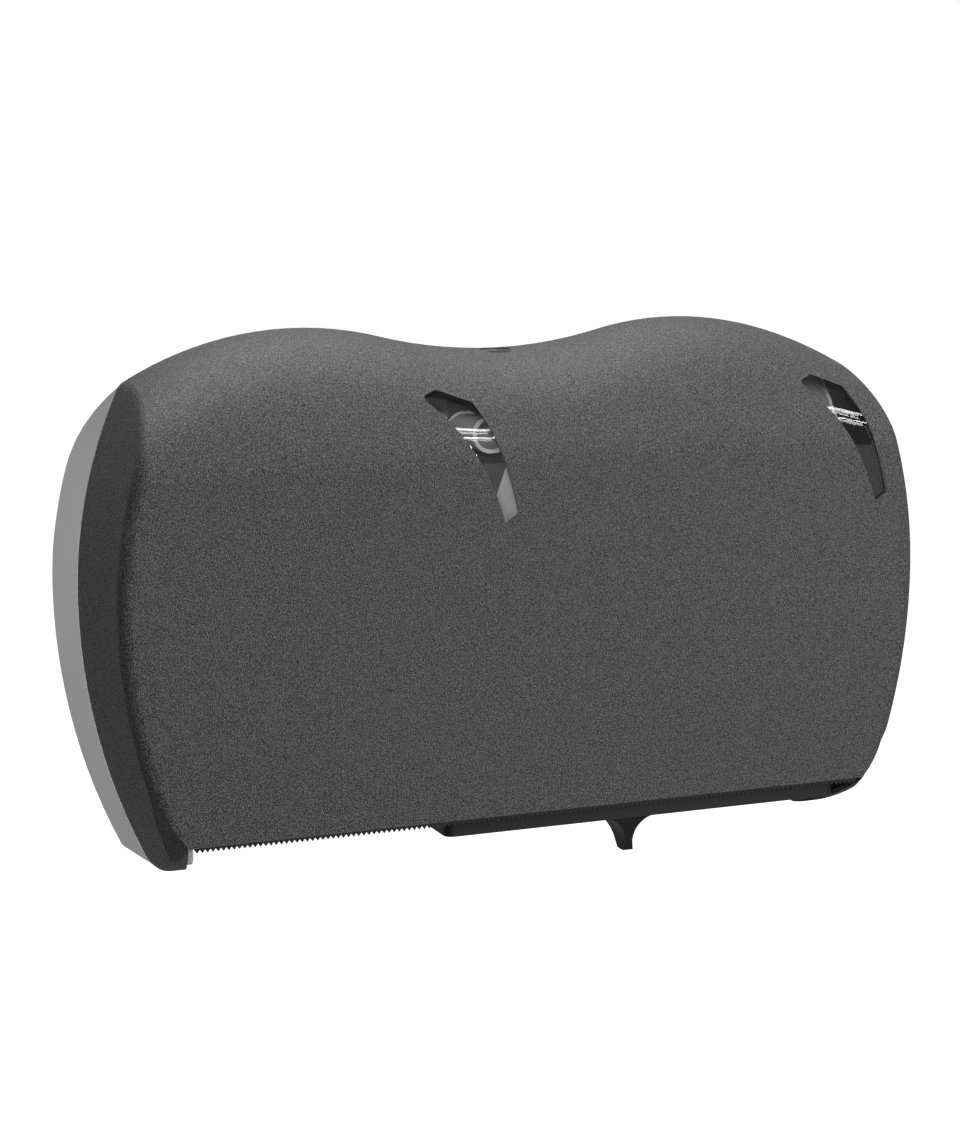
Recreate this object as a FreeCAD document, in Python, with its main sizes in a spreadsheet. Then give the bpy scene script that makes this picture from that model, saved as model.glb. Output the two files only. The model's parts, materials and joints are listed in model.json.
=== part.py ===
import FreeCAD, Part
import Sketcher
import math
import os
import re

# Twin jumbo toilet roll dispenser for the wall. X to the right, Y into the wall, Z up.
# The origin lies on the wall face, midway between the two roll spindles.

os.makedirs("parts", exist_ok=True)
doc = FreeCAD.newDocument("twin_roll_dispenser")
Vector = FreeCAD.Vector

# Driving dimensions, in millimetres and degrees
dimensions = {
    # casing
    "body_depth": 124.0,
    "plate_depth": 44.7,
    "parting_gap": 0.6,
    "rim_half_width": 248.0,
    "cover_draft": 4.35,
    "plate_draft": 6.3,
    "plate_roof_draft": 4.0,
    "widest_height": -22.0,
    "upper_side_radius": 275.0,
    "lower_side_radius": 350.0,
    "lobe_height": 126.0,
    "lobe_radius": 200.0,
    "valley_radius": 271.6,
    "side_reach": 130.0,
    "roll_rise": 76.0,
    "front_drop": 150.0,
    "crease_radius": 8.0,
    "cover_wall": 2.5,
    "plate_wall": 2.5,
    # legs and hinge
    "hinge_drop": 170.0,
    "leg_round": 9.5,
    "rim_overrun": 12.0,
    "leg_sweep": 170.0,
    "leg_inset": 50.0,
    "leg_boss_length": 16.0,
    "leg_slant": 11.4,
    "leg_slant_length": 57.0,
    "scoop_top_inset": 27.0,
    "scoop_top_rise": 22.0,
    "scoop_bend_inset": 31.7,
    "scoop_bend_rise": 11.2,
    "scoop_foot_inset": 39.0,
    "scoop_foot_rise": 1.0,
    "scoop_run": 24.0,
    "scoop_run_out": 3.0,
    "scoop_run_down": 17.0,
    "scoop_length": 42.0,
    "hinge_pin_radius": 3.0,
    "hinge_pin_length": 19.0,
    "pin_clearance": 0.1,
    "lug_setback": 7.5,
    "lug_thickness": 6.0,
    "lug_radius": 7.5,
    # windows, round each roll
    "window_drop": 126.0,
    "window_inner": 147.7,
    "window_inner_shift": 46.2,
    "window_inner_sink": 21.2,
    "window_outer": 223.2,
    "window_outer_shift": 114.4,
    "window_outer_sink": 20.7,
    "window_tip_across": 96.4,
    "window_tip_up": 16.8,
    "window_heel_across": 105.0,
    "window_heel_up": 22.6,
    "window_brow_across": 84.3,
    "window_brow_up": 84.2,
    "window_crown_across": 62.0,
    "window_crown_up": 92.6,
    "window_end_across": 52.0,
    "window_end_up": 88.9,
    "window_corner": 2.0,
    "window_clearance": 0.15,
    "window_recess": 0.3,
    "window_lip": 4.0,
    "window_lip_thickness": 1.5,
    # roll spindles
    "post_radius": 14.0,
    "post_wall": 3.0,
    "flange_radius": 30.0,
    "flange_thickness": 4.0,
    "brake_thickness": 2.0,
    "running_gap": 0.3,
    "hub_wall": 2.2,
    "hub_radius": 21.5,
    "hub_lead": 2.0,
    "hub_web_thickness": 1.6,
    "hub_web_count": 6,
    "hub_stop_radius": 34.0,
    "hub_stop_thickness": 2.5,
    "hub_setback": 36.0,
    "cap_thickness": 4.0,
    "cap_spigot": 10.0,
    "flange_screw_ring": 23.0,
    "flange_screw_count": 3,
    "screw_radius": 2.0,
    "screw_head_radius": 3.8,
    "screw_head_height": 2.4,
    "screw_grip": 2.0,
    # wall fixing
    "wall_hole_spacing_across": 300.0,
    "wall_hole_spacing_up": 130.0,
    "wall_hole_rise": 10.0,
    "wall_hole_radius": 2.75,
    "wall_boss_radius": 11.0,
    "wall_boss_height": 3.0,
    "plate_foot_drop": 150.0,
    "centre_boss_drop": 50.0,
    "centre_boss_radius": 12.0,
    "centre_boss_wall": 2.5,
    "centre_boss_reach": 47.0,
    # tear strip and selector guide
    "strip_thickness": 1.2,
    "strip_overlap": 12.0,
    "strip_show": 1.5,
    "strip_reach": 7.0,
    "tooth_pitch": 3.0,
    "tooth_height": 2.0,
    "guide_web": 1.8,
    "guide_play": 1.0,
    "guide_flange": 1.5,
    "guide_drop": 3.0,
    "guide_bar": 3.0,
    "guide_screw_count": 6,
    "guide_screw_margin": 35.0,
    "guide_screw_drop": 143.5,
    "guide_screw_radius": 2.0,
    "guide_screw_head": 5.0,
    "guide_screw_depth": 4.5,
    "boss_radius": 3.5,
    # roll selector
    "selector_length": 250.0,
    "selector_setback": 10.0,
    "selector_rear_gap": 15.3,
    "selector_bottom": 162.0,
    "selector_wall": 2.0,
    "selector_lip_thickness": 1.5,
    "selector_corner": 5.0,
    "selector_end_gap": 4.0,
    "fin_across": 60.0,
    "fin_drop": 21.0,
    "fin_setback": 2.0,
    "fin_half_width": 2.5,
    "fin_tip_half_width": 3.2,
    "fin_flare": 15.0,
    "fin_lean": 4.0,
    "fin_tip_length": 8.0,
    "fin_root_share": 0.667,
    # lock
    "lock_setback": 56.0,
    "lock_flange_radius": 9.0,
    "lock_body_radius": 7.5,
    "lock_plug_radius": 5.0,
    "lock_flange": 1.5,
    "lock_seat": 9.0,
    "lock_body_length": 17.0,
    "lock_plug_length": 20.0,
    "lock_nut_height": 4.0,
    "key_half_width": 2.6,
    "key_depth": 4.0,
    "cam_screw_head": 3.5,
    "cam_length": 24.0,
    "cam_half_width": 4.0,
    "cam_thickness": 2.5,
    "keeper_offset": 20.0,
    "keeper_foot": 18.0,
    "keeper_head": 14.0,
    "keeper_screw_low": 12.0,
    "keeper_screw_high": 8.0,
    "keeper_gap": 0.6,
    "keeper_width": 16.0,
    "keeper_thickness": 3.0,
    "keeper_lip": 6.0,
    "keeper_reach_gap": 2.0,
}

sheet = doc.addObject("Spreadsheet::Sheet", "dims")
for row, (alias, value) in enumerate(dimensions.items(), start=1):
    sheet.set("A%d" % row, alias.replace("_", " "))
    sheet.set("B%d" % row, repr(value))
    sheet.setAlias("B%d" % row, alias)
doc.recompute()


def size(expression):
    """Value of a sheet name or of an expression of such names."""
    return float(sheet.evalExpression(expression))


def linked(expression):
    """The same expression as seen from another object of the document."""
    return re.sub(r"[a-z][a-z_]*[a-z]", r"dims.\g<0>", expression)


def dims(alias):
    return float(sheet.get(alias))


# Helpers for sketched pieces

def new_body(name):
    body = doc.addObject("PartDesign::Body", name)
    body.Label = name
    return body


def origin_feature(body, role):
    return next(f for f in body.Origin.OriginFeatures if f.Role == role)


def new_sketch(body, name, plane, level):
    sketch = body.newObject("Sketcher::SketchObject", name)
    sketch.AttachmentSupport = (origin_feature(body, plane), [""])
    sketch.MapMode = "FlatFace"
    if level:
        sketch.setExpression("AttachmentOffset.Base.z", linked(level))
    return sketch


def bind(sketch, kind, place, expression):
    """Add one driving dimension that follows the sheet."""
    index = sketch.addConstraint(Sketcher.Constraint(kind, *place, size(expression)))
    sketch.setExpression("Constraints[%d]" % index, linked(expression))


def polygon(body, name, plane, corners, level=None):
    """Closed outline; each corner is a pair of expressions."""
    sketch = new_sketch(body, name, plane, level)
    points = [Vector(size(a), size(b), 0) for a, b in corners]
    count = len(points)
    for i in range(count):
        sketch.addGeometry(Part.LineSegment(points[i], points[(i + 1) % count]), False)
    for i in range(count):
        sketch.addConstraint(Sketcher.Constraint("Coincident", i, 2, (i + 1) % count, 1))
    for i, (a, b) in enumerate(corners):
        bind(sketch, "DistanceX", (-1, 1, i, 1), a)
        bind(sketch, "DistanceY", (-1, 1, i, 1), b)
    return sketch


def circles(body, name, plane, rounds, level=None):
    """Circles given by expressions for centre and radius."""
    sketch = new_sketch(body, name, plane, level)
    for i, (a, b, radius) in enumerate(rounds):
        centre = Vector(size(a), size(b), 0)
        sketch.addGeometry(Part.Circle(centre, Vector(0, 0, 1), size(radius)), False)
        bind(sketch, "DistanceX", (-1, 1, i, 3), a)
        bind(sketch, "DistanceY", (-1, 1, i, 3), b)
        bind(sketch, "Radius", (i,), radius)
    return sketch


def extrude(body, kind, sketch, length, backwards=False, both=False):
    feature = body.newObject("PartDesign::" + kind, sketch.Name + "_" + kind.lower())
    feature.Profile = sketch
    feature.setExpression("Length", linked(length))
    feature.Reversed = backwards
    feature.Midplane = both
    sketch.Visibility = False
    return feature


def pad(body, sketch, length, backwards=False, both=False):
    return extrude(body, "Pad", sketch, length, backwards, both)


def pocket(body, sketch, length, backwards=False, both=False):
    return extrude(body, "Pocket", sketch, length, backwards, both)


def turn(body, name, plane, corners, role):
    """Solid of revolution of an outline about one of the body's axes."""
    feature = body.newObject("PartDesign::Revolution", name)
    feature.Profile = polygon(body, name + "_outline", plane, corners)
    feature.ReferenceAxis = (origin_feature(body, role), [""])
    feature.Angle = 360
    return feature


def polar(body, feature, role, count):
    pattern = body.newObject("PartDesign::PolarPattern", feature.Name + "_ring")
    pattern.Originals = [feature]
    pattern.Axis = (origin_feature(body, role), [""])
    pattern.Angle = 360
    pattern.setExpression("Occurrences", linked(count))
    body.Tip = pattern
    return pattern


def put(piece, across="0", along="0", up="0"):
    """Place a piece by expressions for its X, Y and Z."""
    for axis, expression in zip("xyz", (across, along, up)):
        piece.setExpression("Placement.Base." + axis, linked(expression))


def moulded(name, shape):
    """Free-form moulded piece made with the shape functions."""
    piece = doc.addObject("Part::Feature", name)
    piece.Label = name
    piece.Shape = shape
    return piece


# Levels shared by several pieces

front_y = -dims("body_depth")
rim_y = -size("plate_depth + parting_gap")
hinge_y = rim_y - dims("leg_round")
hinge_z = -dims("hinge_drop")
leg_inner = "(rim_half_width - leg_inset)"
lug_inner = "(rim_half_width - leg_inset - lug_setback)"
spindle_across = "(rim_half_width - side_reach)"
selector_front = "(body_depth - selector_setback)"
selector_rear = "(plate_depth + selector_rear_gap)"
hub_length = "(body_depth - hub_setback)"
guide_length = "(2 * rim_half_width - 2 * leg_inset - guide_play)"
guide_screw_pitch = "(2 * rim_half_width - 2 * leg_inset - guide_play - guide_screw_margin) / (guide_screw_count - 1)"
lobe_x = size(spindle_across)
roll_start = size("lobe_height - roll_rise")
sides = {"left": -1, "right": 1}
hinge_y_text = "-(plate_depth + parting_gap + leg_round)"


def arc(first, middle, last):
    return Part.Arc(first, middle, last).toShape()


def edge(first, last):
    return Part.LineSegment(first, last).toShape()


def face_of(edges):
    return Part.Face(Part.Wire(edges))


def box(x0, x1, y0, y1, z0, z1):
    return Part.makeBox(x1 - x0, y1 - y0, z1 - z0, Vector(x0, y0, z0))


def rod(start, along, radius):
    return Part.makeCylinder(radius, along.Length, start, along)


# Side form: on each side two drafted cones, tangent at the widest height

def side_form(start, end, half_width_at):
    """Solid between the drafted sides, from one depth to another."""
    reach = size("rim_half_width + 12")
    waist = dims("widest_height")
    halves = []
    for name, low, high in (("upper_side_radius", waist, size("lobe_height + 20")),
                            ("lower_side_radius", -size("hinge_drop + leg_round + 15"), waist)):
        centre = dims("rim_half_width") - dims(name)
        block = box(-reach, reach, start, end, low, high)
        for sign in sides.values():
            block = block.common(Part.makeCone(half_width_at(start) - centre, half_width_at(end) - centre,
                                               end - start, Vector(sign * centre, start, waist),
                                               Vector(0, 1, 0)))
        halves.append(block)
    return halves[0].fuse(halves[1])


def cover_half_width(y, inset):
    return dims("rim_half_width") + (y - rim_y) * math.tan(math.radians(dims("cover_draft"))) - inset


def plate_half_width(y, inset):
    slope = math.tan(math.radians(dims("plate_draft")))
    return dims("rim_half_width") + (y - rim_y) * slope - inset


# Roof line: a lobe over each roll, joined by a tangent valley arc

lobe_centre_z = size("lobe_height - lobe_radius")
valley_radius = dims("valley_radius")
valley_centre_z = lobe_centre_z + math.sqrt(size("lobe_radius + valley_radius") ** 2 - lobe_x ** 2)
valley_end = lobe_x * valley_radius / size("lobe_radius + valley_radius")


def roof_height(x, inset):
    if abs(x) < valley_end:
        return valley_centre_z - math.sqrt((valley_radius + inset) ** 2 - x ** 2)
    return lobe_centre_z + math.sqrt((dims("lobe_radius") - inset) ** 2 - (abs(x) - lobe_x) ** 2)


# Underside of the legs: a long arc from the front's foot, tangent to the round of the hinge

def leg_arc_centre():
    """Centre of the long arc, from its foot point and the hinge circle it touches."""
    radius = dims("leg_sweep")
    inner = radius - dims("leg_round")
    dy = hinge_y - front_y
    dz = hinge_z + dims("front_drop")
    gap = math.hypot(dy, dz)
    along = (radius ** 2 - inner ** 2 + gap ** 2) / (2 * gap)
    across = math.sqrt(radius ** 2 - along ** 2)
    return (front_y + (along * dy - across * dz) / gap,
            -dims("front_drop") + (along * dz + across * dy) / gap)


def lower_form(inset, reach, back):
    """Cover below the roll: the side view of its front and legs, extruded across."""
    centre_y, centre_z = leg_arc_centre()
    radius = dims("leg_sweep") - inset
    start_y = front_y + inset
    start = Vector(-reach, start_y, centre_z - math.sqrt(radius ** 2 - (start_y - centre_y) ** 2))
    towards = Vector(0, hinge_y - centre_y, hinge_z - centre_z).normalize()
    centre = Vector(-reach, centre_y, centre_z)
    hinge = Vector(-reach, hinge_y, hinge_z)
    touch = centre + towards * radius
    middle = centre + ((start - centre).normalize() + towards).normalize() * radius
    away = Vector(0, 1, 0) if inset else Vector(0, 0, -1)
    small = dims("leg_round") - inset
    last = hinge + away * small
    bend = hinge + (towards + away).normalize() * small
    base = roll_start
    corners = [last, Vector(-reach, back, last.z), Vector(-reach, back, base),
               Vector(-reach, start_y, base), start]
    outline = [arc(start, middle, touch), arc(touch, bend, last)]
    outline += [edge(a, b) for a, b in zip(corners, corners[1:])]
    return face_of(outline).extrude(Vector(2 * reach, 0, 0))


def roof_arcs(inset):
    """The three arcs of the roof line: each its two ends and its centre, as (x, z) pairs."""
    reach = size("rim_half_width + 12")
    lobe = (lobe_x, lobe_centre_z)
    valley = (0, valley_centre_z)
    ends = [(x, roof_height(x, inset)) for x in (-reach, -valley_end, valley_end, reach)]
    return [(ends[0], ends[1], (-lobe_x, lobe_centre_z)), (ends[1], ends[2], valley), (ends[2], ends[3], lobe)]


def roll_patch(first, last, centre, inset, back):
    """Roll surface over one arc of the roof line: a quarter round as high as the roof there."""
    chord = ((first[0] + last[0]) / 2, (first[1] + last[1]) / 2)
    toward = (chord[0] - centre[0], chord[1] - centre[1])
    radius = math.dist(first, centre)
    share = math.hypot(*toward) / radius
    apex = (centre[0] + toward[0] / share ** 2, centre[1] + toward[1] / share ** 2)
    rounding = 4 * (math.sqrt(2) - 1) / 3
    start = front_y + inset
    depth = back - start
    base = roll_start
    surface = Part.BezierSurface()
    surface.increase(2, 3)
    for i, ((x, z), weight) in enumerate(((first, 1), (apex, share), (last, 1)), start=1):
        for j, (back, up) in enumerate(((0, 0), (0, rounding), (1 - rounding, 1), (1, 1)), start=1):
            surface.setPole(i, j, Vector(x, start + depth * back, base + (z - base) * up), weight)
    return surface.toShape()


def lobed_outline(y, inset, foot):
    """Outline under the roof line at one depth."""
    reach = size("rim_half_width + 12")

    def at(x, z):
        return Vector(x, y, z)

    def roof(x):
        return at(x, roof_height(x, inset))

    middle = (valley_end + reach) / 2
    return Part.Wire([edge(at(-reach, foot), roof(-reach)), arc(roof(-reach), roof(-middle), roof(-valley_end)),
                      arc(roof(-valley_end), roof(0), roof(valley_end)),
                      arc(roof(valley_end), roof(middle), roof(reach)), edge(roof(reach), at(reach, foot)),
                      edge(at(reach, foot), at(-reach, foot))])


def planar_end(patches, axis, level, corners):
    """Flat face between straight corners and the patch edges that lie at a level of an axis."""
    edges = [edge(a, b) for a, b in zip(corners, corners[1:])]
    for item in [item for patch in patches for item in patch.Edges]:
        if all(abs(getattr(vertex.Point, axis) - level) < 1e-6 for vertex in item.Vertexes):
            edges.append(item)
    return Part.Face(Part.Wire(Part.__sortEdges__(edges)))


def roll_form(inset, reach, back):
    """Solid under the three roll patches, closed by flat faces."""
    patches = [roll_patch(*item, inset, back) for item in roof_arcs(inset)]
    start = front_y + inset
    base = roll_start
    feet = [Vector(-reach, back, base), Vector(reach, back, base)]
    roofs = [Vector(foot.x, back, roof_height(reach, inset)) for foot in feet]
    fronts = [Vector(foot.x, start, base) for foot in feet]
    faces = patches + [planar_end(patches, "y", back, [roofs[0], feet[0], feet[1], roofs[1]])]
    for foot, roof, front in zip(feet, roofs, fronts):
        faces.append(planar_end(patches, "x", foot.x, [roof, foot, front]))
    faces.append(planar_end([], "z", base, [fronts[0], fronts[1], feet[1], feet[0], fronts[0]]))
    shell = Part.Shell(faces)
    shell.sewShape()
    solid = Part.Solid(shell)
    return solid if solid.Volume > 0 else solid.reversed()


def cover_form(inset):
    """Solid inside the cover's outer surface, moved in by inset and run on behind the rim."""
    reach = size("rim_half_width + 12")
    if inset:
        back = rim_y + inset
        form = roll_form(inset, reach, back).fuse(lower_form(inset, reach, back))
    else:
        back = rim_y + dims("rim_overrun")
        form = roll_form(0, reach, rim_y).fuse(lower_form(0, reach, back))
        overrun = Part.Face(lobed_outline(rim_y, 0, 0)).extrude(Vector(0, dims("rim_overrun"), 0))
        form = form.fuse(overrun)
    return form.common(side_form(front_y - 5, back + 5, lambda y: cover_half_width(y, inset))).removeSplitter()


def side_at(y, z, inset):
    """Half width of the cover's side surface at a depth and a height."""
    half_width = cover_half_width(y, inset)
    waist = dims("widest_height")
    name = "upper_side_radius" if z > waist else "lower_side_radius"
    radius = dims(name) + half_width - dims("rim_half_width")
    return half_width - radius + math.sqrt(max(radius ** 2 - (z - waist) ** 2, 0))


def middle_of(item):
    return item.valueAt((item.FirstParameter + item.LastParameter) / 2)


def cover_edges(shape, inset, back):
    """Edges where the sides meet the front, the roll and the underside of the legs."""
    found = []
    for item in shape.Edges:
        middle = middle_of(item)
        on_side = abs(abs(middle.x) - side_at(middle.y, middle.z, inset)) < 0.02
        at_waist = abs(middle.z - dims("widest_height")) < 0.02
        if on_side and not at_waist and middle.y < back - 0.02:
            found.append(item)
    return found


def cover_core(wall):
    """Hollow of the cover, open at the rim."""
    form = cover_form(wall)
    return form.makeFillet(dims("crease_radius") - wall, cover_edges(form, wall, rim_y + wall))


def rounded_cover():
    """Outer form with rounded crease and legs, cut square at the rim and round about the hinge."""
    form = cover_form(0)
    back = rim_y + dims("rim_overrun")
    form = form.makeFillet(dims("crease_radius"), cover_edges(form, 0, back))
    reach = size("rim_half_width + 12")
    low = hinge_z - size("leg_round + 1")
    heel = box(-reach, reach, hinge_y, rim_y + 1, low, hinge_z)
    heel = heel.cut(rod(Vector(-reach, hinge_y, hinge_z), Vector(2 * reach, 0, 0), dims("leg_round")))
    behind = box(-reach, reach, rim_y, back + 1, low, size("lobe_height + 20"))
    return form.cut([heel, behind])


# Window slots: a crescent round the top right of each roll

def window_outline():
    """Crescent outline about a spindle at the origin, with rounded corners."""
    def disc(radius, x, z):
        return Part.Face(Part.Wire(Part.makeCircle(radius, Vector(x, 0, z), Vector(0, 1, 0))))

    corners = [("tip_across", "tip_up"), ("heel_across", "heel_up"), ("heel_across", "brow_up"),
               ("brow_across", "brow_up"), ("crown_across", "crown_up"), ("end_across", "end_up"),
               ("end_across", "tip_up")]
    points = [Vector(size("window_" + a), 0, size("window_" + b)) for a, b in corners]
    reach = disc(dims("window_outer"), -dims("window_outer_shift"), -dims("window_outer_sink"))
    crescent = reach.cut(disc(dims("window_inner"), -dims("window_inner_shift"), -dims("window_inner_sink")))
    crescent = crescent.common(Part.Face(Part.makePolygon(points + points[:1])))
    return crescent.Faces[0].OuterWire


def window_block(side, offset):
    """The slot's outline grown by offset and run through the front of the cover."""
    corner = dims("window_corner")
    outline = window_outline().makeOffset2D(-corner).makeOffset2D(corner + offset)
    block = Part.Face(outline).extrude(Vector(0, dims("body_depth") / 2, 0))
    block.translate(Vector(sides[side] * lobe_x, front_y - 1, size("lobe_height - window_drop")))
    return block


def surface_height(y, inset=0):
    """Height of the roof at its middle, at depth y."""
    share = (rim_y - y) / (rim_y - front_y - inset)
    crown = roof_height(0, inset) - roll_start
    return roll_start + crown * math.sqrt(1 - share ** 2)


lock_y = -dims("lock_setback")
lock_top = surface_height(lock_y - dims("lock_flange_radius"))
screw_xs = [(i - (dims("guide_screw_count") - 1) / 2) * size(guide_screw_pitch)
            for i in range(int(dims("guide_screw_count")))]
web_front = front_y + size("cover_wall + strip_thickness")
web_back = web_front + dims("guide_web")


# Lower corners: each is cut off obliquely where the front runs out over the leg

def corner_cuts(depth):
    """The two oblique cutters, moved into the cover by depth."""
    rim = dims("rim_half_width")
    foot = -dims("front_drop")
    top, bend, low = [Vector(dims("scoop_%s_inset" % name) - rim, front_y, foot + dims("scoop_%s_rise" % name))
                      for name in ("top", "bend", "foot")]
    slope = low - top
    run = Vector(-dims("scoop_run_out"), dims("scoop_run"), -dims("scoop_run_down"))
    inward = slope.cross(run).normalize() * depth
    above, below = top - slope, low + slope
    outside = Vector(-rim - dims("scoop_top_inset"), front_y, below.z)
    outline = [arc(top, bend, low), edge(low, below), edge(below, outside),
               edge(outside, Vector(outside.x, front_y, above.z)),
               edge(Vector(outside.x, front_y, above.z), above), edge(above, top)]
    cutter = face_of(outline).extrude(run * (dims("scoop_length") / dims("scoop_run")))
    cutter.translate(inward - run * (2 / dims("scoop_run")))
    return [cutter, cutter.mirror(Vector(0, 0, 0), Vector(1, 0, 0))]


def slant_cuts():
    """Wedges that narrow the legs from the inner side towards the front."""
    inner = -size(leg_inner)
    level = -size("front_drop + running_gap")
    points = [Vector(inner - dims("leg_slant"), front_y - 2, level), Vector(inner + 1, front_y - 2, level),
              Vector(inner + 1, front_y - 2 + dims("leg_slant_length"), level)]
    wedge = Part.Face(Part.makePolygon(points + points[:1])).extrude(Vector(0, 0, -size("hinge_drop")))
    return [wedge, wedge.mirror(Vector(0, 0, 0), Vector(1, 0, 0))]


# Front cover

def front_cover():
    wall = dims("cover_wall")
    solid = rounded_cover().cut(corner_cuts(0))
    core = cover_core(wall).cut(corner_cuts(wall))
    shell = solid.cut(core)
    leg_x = size(leg_inner)
    below = -size("hinge_drop + leg_round + 5")
    shell = shell.cut(box(-leg_x, leg_x, front_y + wall, rim_y + 1, below, hinge_z / 2))
    lip = size(leg_inner + " + strip_reach + 0.5")
    strip_back = web_front + dims("pin_clearance")
    shell = shell.cut([box(-lip, lip, front_y - 1, strip_back, below, -dims("front_drop")),
                       box(-lip, lip, front_y + wall, strip_back, below, -size("front_drop - strip_overlap - 1"))])

    bosses = []
    for sign in sides.values():
        start = Vector(sign * leg_x, hinge_y, hinge_z)
        bosses.append(rod(start, Vector(sign * dims("leg_boss_length"), 0, 0),
                          size("leg_round - cover_wall / 2")))
    seat = Vector(0, lock_y, lock_top - dims("lock_seat"))
    bosses.append(rod(seat, Vector(0, 0, 2 * dims("lock_seat")), size("lock_flange_radius + 3.5")))
    shell = shell.fuse([boss.common(solid) for boss in bosses])
    screw_bosses = [rod(Vector(x, front_y + wall / 2, -dims("guide_screw_drop")),
                        Vector(0, web_back - front_y - wall / 2, 0), dims("boss_radius")) for x in screw_xs]
    shell = shell.fuse(screw_bosses)

    cuts = [window_block(side, 0) for side in sides] + slant_cuts()
    for sign in sides.values():
        start = Vector(sign * (leg_x - 1), hinge_y, hinge_z)
        reach = size("hinge_pin_length - lug_setback + 1.3")
        cuts.append(rod(start, Vector(sign * reach, 0, 0), size("hinge_pin_radius + pin_clearance")))
    floor = Vector(0, lock_y, lock_top - dims("lock_flange"))
    cuts.append(rod(floor, Vector(0, 0, dims("lock_plug_length")), size("lock_flange_radius + 0.2")))
    cuts.append(rod(Vector(0, lock_y, 0), Vector(0, 0, lock_top), size("lock_body_radius + 0.1")))
    for x in screw_xs:
        mouth = Vector(x, web_back + 1, -dims("guide_screw_drop"))
        cuts.append(rod(mouth, Vector(0, -dims("guide_screw_depth") - 1, 0), dims("guide_screw_radius")))
    return shell.cut(cuts)


moulded("front_cover", front_cover())


# Clear windows: a plug in the slot with a lip behind it

def window_insert(side, front, middle, back):
    plug = window_block(side, -dims("window_clearance")).common(front)
    lip = window_block(side, dims("window_lip")).common(middle)
    return plug.fuse(lip).cut(back).removeSplitter()


layers = [cover_form(size(depth)) for depth in
          ("window_recess", "cover_wall", "cover_wall + window_lip_thickness")]
for side in sides:
    moulded(side + "_window", window_insert(side, *layers))


# Back plate: a tray with the same outline, two hinge legs and bosses for the screws

def plate_form(start, end, inset):
    foot = hinge_z - dims("leg_round") + inset
    slope = math.tan(math.radians(dims("plate_roof_draft")))
    rings = [lobed_outline(y, inset + (y + dims("plate_depth")) * slope, foot) for y in (start, end)]
    block = Part.makeLoft(rings, True, True)
    block = block.common(side_form(start - 1, end + 1, lambda y: plate_half_width(y, inset)))
    corners = [item for item in block.Edges
               if abs(middle_of(item).y - (start + end) / 2) < 1 and abs(middle_of(item).x) > size(leg_inner)
               and abs(middle_of(item).z - dims("widest_height")) > 1]
    return block.makeFillet(dims("crease_radius") - inset, corners)


def back_plate():
    wall = dims("plate_wall")
    depth = dims("plate_depth")
    lug_x = size(lug_inner)
    foot = hinge_z - dims("leg_round")
    tray = plate_form(-depth, 0, 0).cut(plate_form(-depth - 1, -wall, wall))
    tray = tray.cut(box(-lug_x, lug_x, -depth - 1, 1, foot - 1, -dims("plate_foot_drop")))
    posts = []
    for sign in sides.values():
        near, far = sorted((sign * lug_x, sign * (lug_x + dims("lug_thickness"))))
        radius = dims("lug_radius")
        posts.append(box(near, far, -depth, -wall / 2, foot + wall / 2, -dims("plate_foot_drop")))
        posts.append(box(near, far, hinge_y, -depth + 1, hinge_z - radius, hinge_z + radius))
        posts.append(rod(Vector(near, hinge_y, hinge_z), Vector(far - near, 0, 0), radius))
    screw_boss = size("plate_wall + wall_boss_height")
    for x, z in wall_holes():
        posts.append(rod(Vector(x, -wall / 2, z), Vector(0, wall / 2 - screw_boss, 0), dims("wall_boss_radius")))
    centre = Vector(0, -wall / 2, roof_height(0, 0) - dims("centre_boss_drop"))
    reach = Vector(0, wall / 2 - dims("centre_boss_reach"), 0)
    posts.append(rod(centre, reach, dims("centre_boss_radius")))
    tray = tray.fuse(posts)

    cuts = [rod(centre + Vector(0, -wall / 2, 0), reach, size("centre_boss_radius - centre_boss_wall"))]
    for sign in sides.values():
        start = Vector(sign * (lug_x - 1), hinge_y, hinge_z)
        cuts.append(rod(start, Vector(sign * size("lug_thickness + 2"), 0, 0), dims("hinge_pin_radius")))
    for x, z in wall_holes():
        cuts.append(rod(Vector(x, 1, z), Vector(0, -screw_boss - 2, 0), dims("wall_hole_radius")))
    for x, z in flange_screws() + keeper_screws():
        cuts.append(rod(Vector(x, -wall - 1, z), Vector(0, 1 + size("screw_grip + 0.2"), 0), dims("screw_radius")))
    return tray.cut(cuts).removeSplitter()


def wall_holes():
    across = size("wall_hole_spacing_across / 2")
    up = size("wall_hole_spacing_up / 2")
    rise = dims("wall_hole_rise")
    return [(sx * across, rise + sz * up) for sz in (-1, 1) for sx in (-1, 1)]


def flange_screws():
    count = int(dims("flange_screw_count"))
    places = []
    for sign in sides.values():
        for i in range(count):
            turned = math.pi / 2 + 2 * math.pi * i / count
            places.append((sign * lobe_x + dims("flange_screw_ring") * math.cos(turned),
                           dims("flange_screw_ring") * math.sin(turned)))
    return places


def keeper_screws():
    return [(-dims("keeper_offset"), keeper_top + rise)
            for rise in (-dims("keeper_screw_low"), dims("keeper_screw_high"))]


cam_top = lock_top - dims("lock_plug_length")
keeper_top = cam_top - size("cam_thickness + keeper_gap")
moulded("back_plate", back_plate())


# Roll spindles: a fixed post, a friction ring, a turning hub and a cap on each side
# Their own frame has Y along the spindle, with Y = 0 at the back.

def screws(name, places, along, grip, head_radius="screw_head_radius"):
    """Pan-headed screws as one group; each place is the seat of a head."""
    head = dims("screw_head_height")
    group = []
    for place in places:
        shank = rod(place, along * grip, dims("screw_radius"))
        top = Part.makeCone(dims(head_radius), dims(head_radius) - head / 3, head, place, along * -1)
        group.append(top.fuse(shank))
    return moulded(name, Part.makeCompound(group))


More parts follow.
